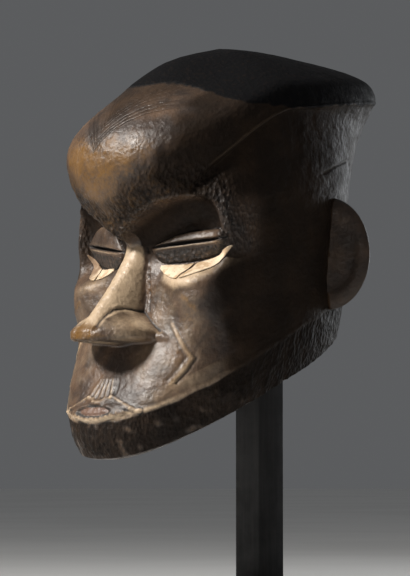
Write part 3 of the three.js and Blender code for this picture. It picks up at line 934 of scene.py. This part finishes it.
def carved_wood(colours):
    """Dark handled wood: patina and painted shade, ochre where it is worn, black cap, pale edges and
    painted highlights, and dark grooves.
    """
    f = Finish("carved_wood", 0.45)
    cap, worn, grime, pale, red, dark, chipped, hair, combed = (f.attribute(key) for key in PAINTS)
    blotch = f.noise(SIZES.blotch, 6, 0.6)
    fine = f.noise(SIZES.fine, 5, 0.65)
    streak = f.noise(SIZES.streak, 5, 0.6, f.stretched((1, 1, 0.18)))
    wood = f.mix(f.ramp(blotch, 0.35, 0.68), colours.dark_wood, colours.brown_wood)
    wood = f.mix(f.ramp(streak, 0.5, 0.75, 0, 0.45), wood, colours.dark_wood)
    wear = f.plus(worn, f.ramp(blotch, 0.3, 0.7, -0.16, 0.14))
    wear = f.plus(wear, f.ramp(fine, 0.3, 0.7, -0.2, 0.2))
    wood = f.mix(f.ramp(wear, 0.1, 0.95), wood, colours.ochre_wood)
    wood = f.mix(f.times(red, 0.8), wood, colours.red_wood)
    cuts = hair_cuts(f, hair, combed)
    # The black patina colour: real patina in places, painted shade on the sides, in the hollow under
    # the brow, low over the brow and on the jaw band
    wood = f.mix(f.times(dark, 0.9), wood, colours.patina_and_shade)
    # Pale worn edges and ridges, and painted highlights and sheen on the cap ridge, upper lids, cheeks,
    # nose ridge and jaw edge
    edge = f.times(pale, f.ramp(fine, 0.3, 0.65, 0.8, 1.12))
    wood = f.mix(f.ramp(edge, 0.04, 0.95), wood, colours.pale_wood_and_highlight)
    # Dirt in the grooves, and painted shade in the slits, under the lower lids, under the nose and in
    # the hollow under the brow
    dirt_and_shade = f.plus(grime, f.ramp(fine, 0.35, 0.7, -0.1, 0.12))
    dirt_and_shade = f.plus(dirt_and_shade, f.times(cuts, 0.34))
    wood = f.mix(f.ramp(dirt_and_shade, 0.05, 0.9), wood, colours.grime)
    dust = f.ramp(f.noise(SIZES.dust, 3, 0.7), 0.62, 0.78, 0, 0.25)
    wood = f.mix(dust, wood, colours.dust)
    black = f.mix(f.ramp(fine, 0.5, 0.8, 0, 0.3), colours.cap, colours.dark_wood)
    wood = f.mix(f.ramp(cap, 0.25, 0.75), wood, black)
    f.surface("Base Color", wood)
    shine = f.ramp(f.noise(SIZES.shine, 4, 0.6), 0.3, 0.7, 0.34, 0.52)
    rough = f.plus(shine, f.ramp(dirt_and_shade, 0.2, 1.0, 0, 0.3))
    rough = f.plus(rough, f.times(cap, 0.22))
    f.surface("Roughness", rough)
    dull = f.math("MAXIMUM", cap, f.times(dark, 0.9))
    f.surface("Specular IOR Level", f.ramp(dull, 0.2, 0.9, 0.5, 0.05))
    chips = f.times(f.cells(SIZES.chips, f.stretched((1, 1, 0.6))), chipped)
    pits = f.bump(f.cells(SIZES.pits), BUMPS.pits, 0.4, f.bump(chips, BUMPS.chips, 0.9))
    fibres = f.bump(streak, BUMPS.fibres, 0.5, pits)
    lines = f.bump(f.times(cuts, -1.0), BUMPS.cuts, 0.8, fibres)
    f.surface("Normal", f.bump(fine, BUMPS.fine, 0.7, lines))
    return f.material


def pale_strip(colours):
    """Dry cream strips with faint stains, the right one worn down at its outer end."""
    f = Finish("pale_strip", 0.62, 0.3)
    stain = f.noise(0.008, 5, 0.6)
    speck = f.noise(0.0016, 4, 0.7)
    tone = f.mix(f.ramp(stain, 0.4, 0.62, 0, 0.9), colours.strip, colours.strip_stain)
    tone = f.mix(f.ramp(speck, 0.54, 0.74, 0, 0.6), tone, colours.ochre_wood)
    bare = f.plus(f.ramp(f.axis("X"), *WORN_STRIP), f.ramp(stain, 0.3, 0.7, -0.3, 0.1))
    tone = f.mix(f.math("MAXIMUM", bare, 0.0), tone, colours.strip_worn)
    f.surface("Base Color", tone)
    f.surface("Normal", f.bump(speck, 0.0003, 0.5))
    return f.material


def black_stain(colours):
    """Matte black stained wood with a faint upright grain."""
    f = Finish("black_stain", 0.6, 0.3)
    fibre = f.noise(0.004, 5, 0.6, f.stretched((1, 1, 0.06)))
    worn = f.noise(0.02, 5, 0.6)
    tone = f.mix(f.ramp(fibre, 0.35, 0.75), colours.stand, colours.stand_grain)
    f.surface("Base Color", tone)
    f.surface("Roughness", f.ramp(worn, 0.3, 0.7, 0.5, 0.7))
    f.surface("Normal", f.bump(fibre, 0.0003, 0.4))
    return f.material


def plain_floor():
    """Pale studio floor, a little uneven in tone."""
    f = Finish("studio_floor", 0.8, 0.2)
    tone = f.mix(f.ramp(f.noise(0.6, 2), 0.4, 0.6), (0.62, 0.62, 0.61), (0.65, 0.65, 0.64))
    f.surface("Base Color", tone)
    return f.material


def strip_edges(place, x):
    """Heights of a strip's lower and upper edges: a crescent, blunter at its outer end."""
    drawn = (STRIP.outer_x - STRIP.inner_x) / (place.outer_x - place.inner_x)
    x = STRIP.inner_x + (x - place.inner_x) * drawn
    top = STRIP.top_z + STRIP.rise * (max(0.0, x - STRIP.rise_from) / STRIP.rise_over) ** 1.8
    out = x - STRIP.middle_x
    taper = (out / STRIP_TAPER.outer) ** 3 if out > 0 else (-out / STRIP_TAPER.inner) ** 2.2
    return top - place.width * max(0.0, 1 - taper) ** 0.8, top


def strip_fragment(bm, surface, side, part, settings):
    """One fragment of a strip: a crescent laid on the carved face and raised from it."""
    place = STRIP_SIDES["left" if side > 0 else "right"]
    columns, rows = STRIP_GRID
    bmesh.ops.create_grid(bm, x_segments=columns, y_segments=rows, size=0.5)
    half_gap = settings.strip_gap / MM / 2
    for vert in bm.verts:
        along, across = vert.co.x + 0.5, vert.co.y + 0.5
        torn = place.break_x + part * half_gap + place.lean * (2 * across - 1)
        torn += 0.5 * grain(across * 12, part * 3, side, 2)
        start, end = (place.inner_x, torn) if part < 0 else (torn, place.outer_x)
        x = start + (end - start) * along
        low, high = strip_edges(place, x)
        z = low + (high - low) * across + 0.3 * grain(x, across, side, 3)
        hit, *_ = surface.ray_cast(Vector((side * x, BEFORE_FACE, z + CHIN_Z)) * MM, Vector((0, 1, 0)))
        if hit is None:
            raise RuntimeError(f"no face under the strip at {x:.0f}, {z:.0f}")
        vert.co = hit
    away = Vector((side * OUTWARD[0], OUTWARD[1], 0)) * MM
    for vert in bm.verts:
        vert.co += away * STRIP_CLEAR
    raised = bmesh.ops.extrude_face_region(bm, geom=bm.faces[:])
    for vert in [item for item in raised["geom"] if isinstance(item, bmesh.types.BMVert)]:
        vert.co += away * STRIP_THICK
    bmesh.ops.recalc_face_normals(bm, faces=bm.faces)


def bar(bm, size, low, high, bevel):
    """A square block standing on its end, with bevelled edges."""
    bmesh.ops.create_cube(bm, size=1)
    for vert in bm.verts:
        vert.co = Vector((vert.co.x * size, vert.co.y * size, low + (vert.co.z + 0.5) * (high - low)))
    shape = {"segments": 3, "profile": 0.5, "affect": "EDGES", "material": -1}
    bmesh.ops.bevel(bm, geom=bm.edges[:], offset=bevel, **shape)


def join_to(piece, other):
    """Makes a piece and another closed mesh one."""
    union = piece.modifiers.new("join", "BOOLEAN")
    union.operation = "UNION"
    union.solver = "MANIFOLD"
    union.object = other
    bpy.context.view_layer.objects.active = piece
    bpy.ops.object.modifier_apply(modifier=union.name)
    bpy.data.objects.remove(other)


def number(name, description, value, unit="NONE"):
    return bpy.props.FloatProperty(name=name, description=description, default=value, unit=unit)


class CarvingSizes(bpy.types.PropertyGroup):
    line_depth: number("Line depth", "Depth of the incised lines", 0.0014, "LENGTH")
    chisel_depth: number("Chisel depth", "Depth of the blade's marks", 0.0006, "LENGTH")
    strip_gap: number("Strip gap", "Width of the break in each strip", 0.003, "LENGTH")
    stand_bevel: number("Stand bevel", "Bevel of the post's and foot's edges", 0.0012, "LENGTH")


def colour(name, description, value):
    return bpy.props.FloatVectorProperty(
        name=name, description=description, default=value, subtype="COLOR", size=3, min=0, max=1
    )


class CarvingColours(bpy.types.PropertyGroup):
    # Patina colour, also used as painted shade on the sides and in the hollows
    patina_and_shade: colour("Patina", "Black patina of the sides and hollows", (0.012, 0.009, 0.007))
    dark_wood: colour("Dark wood", "Deep patina", (0.03, 0.018, 0.012))
    brown_wood: colour("Brown wood", "Handled brown wood", (0.1, 0.058, 0.033))
    ochre_wood: colour("Ochre wood", "Worn golden wood", (0.122, 0.06, 0.013))
    # Pale wood colour, also used for painted highlights and sheen
    pale_wood_and_highlight: colour("Pale wood", "Rubbed edges and ridges", (0.43, 0.32, 0.21))
    red_wood: colour("Red wood", "Stain inside the lips", (0.15, 0.085, 0.06))
    # Grime colour: real dirt in grooves, and painted shade in the slits and hollows
    grime: colour("Grime", "Dirt in the hollows", (0.007, 0.005, 0.004))
    dust: colour("Dust", "Grey dust in the pores", (0.16, 0.13, 0.11))
    cap: colour("Cap", "Black paint of the cap", (0.004, 0.004, 0.0045))
    strip: colour("Strip", "Cream strips", (0.62, 0.5, 0.36))
    strip_stain: colour("Strip stain", "Stains on the strips", (0.38, 0.26, 0.15))
    strip_worn: colour("Worn strip", "Where the strip is worn down", (0.2, 0.13, 0.08))
    stand: colour("Stand", "Black stain of the stand", (0.005, 0.005, 0.0055))
    stand_grain: colour("Stand grain", "Grain of the stand", (0.014, 0.013, 0.013))


class StageLight(bpy.types.PropertyGroup):
    key: number("Key", "Watts of the key light", 86)
    fill: number("Fill", "Watts of the fill light", 1.5)
    rim: number("Rim", "Watts of the light behind", 13)
    overhead: number("Overhead", "Strength of the even light from above", 0.2)
    room: number("Room", "Strength of the room's light", 0.14)


class CARVING_OT_mask(bpy.types.Operator):
    """Carves the hollow helmet with its face, cap and ears"""

    bl_idname = "carving.mask"
    bl_label = "Carve the mask"

    def execute(self, context):
        scene = context.scene
        bm = bmesh.new()
        place = helmet_shell(bm)
        add_relief(bm, place, scene.carving_sizes)
        to_metres(bm)
        piece = new_piece("mask_carving", bm)
        for side in (1, -1):
            bm = bmesh.new()
            ear_flange(bm, side)
            to_metres(bm)
            join_to(piece, new_piece("ear", bm))
        piece.data.shade_smooth()
        settle(piece, carved_wood(scene.carving_colours), "mask")
        return {"FINISHED"}


class CARVING_OT_strips(bpy.types.Operator):
    """Lays the broken pale strips under the eyes"""

    bl_idname = "carving.strips"
    bl_label = "Lay the eye strips"

    def execute(self, context):
        scene = context.scene
        material = pale_strip(scene.carving_colours)
        mask = bpy.data.objects["mask_carving"]
        surface = BVHTree.FromObject(mask, context.evaluated_depsgraph_get())
        for side, side_name in ((1, "left"), (-1, "right")):
            for part, part_name in ((-1, "inner"), (1, "outer")):
                node = f"{side_name}_eye_strip_{part_name}"
                bm = bmesh.new()
                strip_fragment(bm, surface, side, part, scene.carving_sizes)
                piece = new_piece(f"{node}_piece", bm)
                settle(piece, material, node)
        return {"FINISHED"}


class CARVING_OT_stand(bpy.types.Operator):
    """Makes the square post and its foot"""

    bl_idname = "carving.stand"
    bl_label = "Make the stand"

    def execute(self, context):
        scene = context.scene
        material = black_stain(scene.carving_colours)
        for node, slot in (("post", "post_black"), ("foot", "foot_black")):
            low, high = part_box(node)
            heights = [v.co.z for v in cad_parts[node].data.vertices if v.co.z > (low.z + high.z) / 2]
            bm = bmesh.new()
            bar(bm, high.x - low.x, low.z, min(heights), scene.carving_sizes.stand_bevel)
            piece = new_piece(f"{node}_piece", bm)
            piece.data.set_sharp_from_angle(angle=math.radians(30))
            settle(piece, material, node)
        return {"FINISHED"}


def area_light(name, watts, direction, distance, size, tint):
    """A soft square light that shines on the mask from a direction."""
    light = bpy.data.lights.new(name, "AREA")
    light.size = size
    light.energy = watts
    light.color = tint
    lamp = new_object(name, light)
    lamp.location = AIM + Vector(direction).normalized() * distance
    lamp.rotation_euler = Vector(direction).to_track_quat("Z", "Y").to_euler()


class CARVING_OT_stage(bpy.types.Operator):
    """Sets up the floor, the soft lights and the camera"""

    bl_idname = "carving.stage"
    bl_label = "Set the stage"

    def execute(self, context):
        scene = context.scene
        bm = bmesh.new()
        bmesh.ops.create_circle(bm, cap_ends=True, segments=96, radius=FLOOR_RADIUS)
        floor = new_piece("floor", bm)
        floor.data.materials.append(plain_floor())

        light = scene.stage_light
        for name, place in LIGHTS.items():
            area_light(name, getattr(light, name), *place)
        world = bpy.data.worlds.new("studio")
        world.use_nodes = True
        background = world.node_tree.nodes["Background"]
        background.inputs["Color"].default_value = ROOM_TINT
        background.inputs["Strength"].default_value = light.room
        scene.world = world
        scene.view_settings.view_transform = "Standard"
        sun = bpy.data.lights.new("overhead", "SUN")
        sun.energy = light.overhead
        sun.angle = OVERHEAD_SPREAD
        new_object("overhead", sun)

        level = math.cos(ELEVATION)
        towards = Vector((math.sin(AZIMUTH) * level, -math.cos(AZIMUTH) * level, math.sin(ELEVATION)))
        right = Vector((math.cos(AZIMUTH), math.sin(AZIMUTH), 0))
        centre = AIM + right * ASIDE + towards.cross(right) * ABOVE
        camera = new_object("camera", bpy.data.cameras.new("camera"))
        camera.data.lens = LENS
        camera.data.sensor_width = SENSOR
        camera.data.clip_end = FARTHEST
        camera.location = AIM + towards * DISTANCE
        camera.rotation_euler = (centre - camera.location).to_track_quat("-Z", "Y").to_euler()
        scene.camera = camera
        return {"FINISHED"}


class CARVING_PT_panel(bpy.types.Panel):
    bl_label = "Carved helmet mask"
    bl_space_type = "VIEW_3D"
    bl_region_type = "UI"
    bl_category = "Carving"

    def draw(self, context):
        scene = context.scene
        for operator in OPERATORS:
            self.layout.operator(operator.bl_idname)
        for group in (scene.carving_sizes, scene.carving_colours, scene.stage_light):
            for key in group.__annotations__:
                self.layout.prop(group, key)


GROUPS = {"carving_sizes": CarvingSizes, "carving_colours": CarvingColours, "stage_light": StageLight}
OPERATORS = (CARVING_OT_mask, CARVING_OT_strips, CARVING_OT_stand, CARVING_OT_stage)


def register():
    for kind in (*GROUPS.values(), *OPERATORS, CARVING_PT_panel):
        bpy.utils.register_class(kind)
    for name, kind in GROUPS.items():
        setattr(bpy.types.Scene, name, bpy.props.PointerProperty(type=kind))


def unregister():
    for name in GROUPS:
        delattr(bpy.types.Scene, name)
    for kind in (CARVING_PT_panel, *OPERATORS, *GROUPS.values()):
        bpy.utils.unregister_class(kind)


def main():
    register()
    bpy.ops.carving.mask()
    bpy.ops.carving.strips()
    bpy.ops.carving.stand()
    bpy.ops.carving.stage()


if __name__ == "__main__":
    main()
